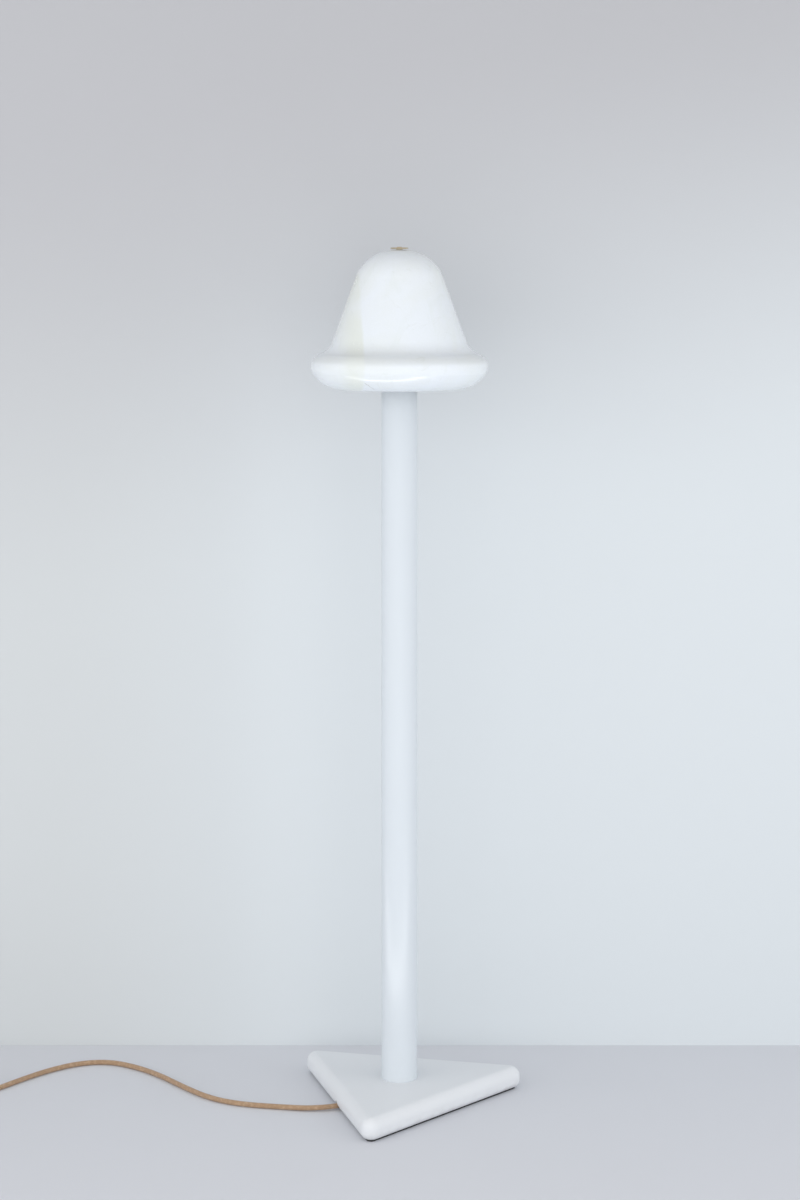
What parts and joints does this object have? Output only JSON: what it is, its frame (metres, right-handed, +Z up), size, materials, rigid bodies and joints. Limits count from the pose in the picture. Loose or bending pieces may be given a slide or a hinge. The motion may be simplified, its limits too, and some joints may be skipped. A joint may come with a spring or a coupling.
{
  "type": "floor lamp",
  "caption": "Floor lamp with a turned stone mushroom shade on a slim round column, a heavy rounded triangular base plate and a braided mains cord with foot switch and plug.",
  "frame": {"origin": "on the column axis at the floor, which is the centre of the base pad's underside", "axes": "+Z up along the column; -Y towards one vertex of the triangular base; +X along the base side opposite that vertex; the cord leaves the side between -X and -Y"},
  "size_m": [0.9441, 0.3768, 1.1904],
  "materials": {
    "plate_paint": "satin off-white powder coat",
    "column_paint": "satin off-white powder coat",
    "pad_rubber": "matt",
    "zinc_steel": "zinc plated",
    "pale_rubber": "matt",
    "cord_braid": "copper tan braid",
    "brass": "satin",
    "core_plastic": "plain",
    "holder_plastic": "fine grained",
    "ceramic": "unglazed",
    "clear_glass": "clear",
    "nickel": "nickel plated",
    "bulb_black": "vitrite",
    "filament": "phosphor coated",
    "white_stone": "polished translucent",
    "felt": "felt",
    "clear_washer": "clear",
    "polished_brass": "polished",
    "switch_plastic": "fine grained",
    "spring_steel": "bright",
    "relief_rubber": "matt",
    "tie_fabric": "woven hook and loop",
    "plug_plastic": "satin"
  },
  "bodies": {
    "stand": {"base_plate": "plate_paint", "base_pad": "pad_rubber", "cord_strap": "zinc_steel", "cord_strap_screws": "zinc_steel", "cord_grommet": "pale_rubber", "inner_lead": "cord_braid", "earth_terminal": "zinc_steel", "earth_screw": "brass", "lead_cores": "core_plastic", "column_tube": "column_paint", "column_spigot": "zinc_steel", "column_cap": "column_paint", "tie_pipe": "zinc_steel", "lower_washer": "zinc_steel", "lower_nut": "zinc_steel", "upper_washer": "zinc_steel", "upper_nut": "zinc_steel", "harp_bracket": "brass", "holder_dome": "holder_plastic", "holder_shell": "holder_plastic", "holder_insert": "ceramic", "screw_shell": "brass", "centre_contact": "brass", "terminal_screws": "brass", "harp_wire": "brass", "harp_sleeves": "brass", "harp_crown": "brass", "shade_stud": "brass", "seat_gasket": "felt", "floor_lead": "cord_braid", "switch_base": "switch_plastic", "switch_cover": "switch_plastic", "switch_spring": "spring_steel", "switch_contacts": "brass", "switch_screws": "zinc_steel", "switch_relief_in": "relief_rubber", "switch_relief_out": "relief_rubber", "coil_feed": "cord_braid", "cord_coil": "cord_braid", "coil_tie": "tie_fabric", "plug_lead": "cord_braid", "plug_relief": "relief_rubber", "plug_body": "plug_plastic", "plug_pins": "nickel", "plug_clips": "brass"},
    "bulb": {"bulb_glass": "clear_glass", "bulb_cap": "nickel", "bulb_tip": "bulb_black", "bulb_filaments": "filament"},
    "shade": {"stone_shade": "white_stone"},
    "finial_washer": {"finial_washer": "clear_washer"},
    "finial": {"finial": "polished_brass"},
    "foot_button": {"switch_button": "switch_plastic"}
  },
  "joints": [
    {"name": "shade_lift", "type": "slide", "parent": "stand", "child": "shade", "axis": [0, 0, 1], "range_m": [0, 0.2]},
    {"name": "finial_rise", "type": "slide", "parent": "shade", "child": "finial_washer", "axis": [0, 0, 1], "range_m": [0, 0.0033]},
    {"name": "finial_turn", "type": "hinge", "parent": "finial_washer", "child": "finial", "pos_m": [0, 0, 1.187], "axis": [0, 0, 1], "range_deg": [0, 1440]},
    {"name": "bulb_lift", "type": "slide", "parent": "stand", "child": "bulb", "axis": [0, 0, 1], "range_m": [0, 0.012]},
    {"name": "button_press", "type": "slide", "parent": "stand", "child": "foot_button", "axis": [0, 0, -1], "range_m": [0, 0.0025], "stiffness_N_per_m": 700, "deforming": ["switch_spring"]}
  ],
  "couplings": [
    {"joint": "finial_rise", "follows": "finial_turn", "m_per_rad": 0.00012732}
  ]
}
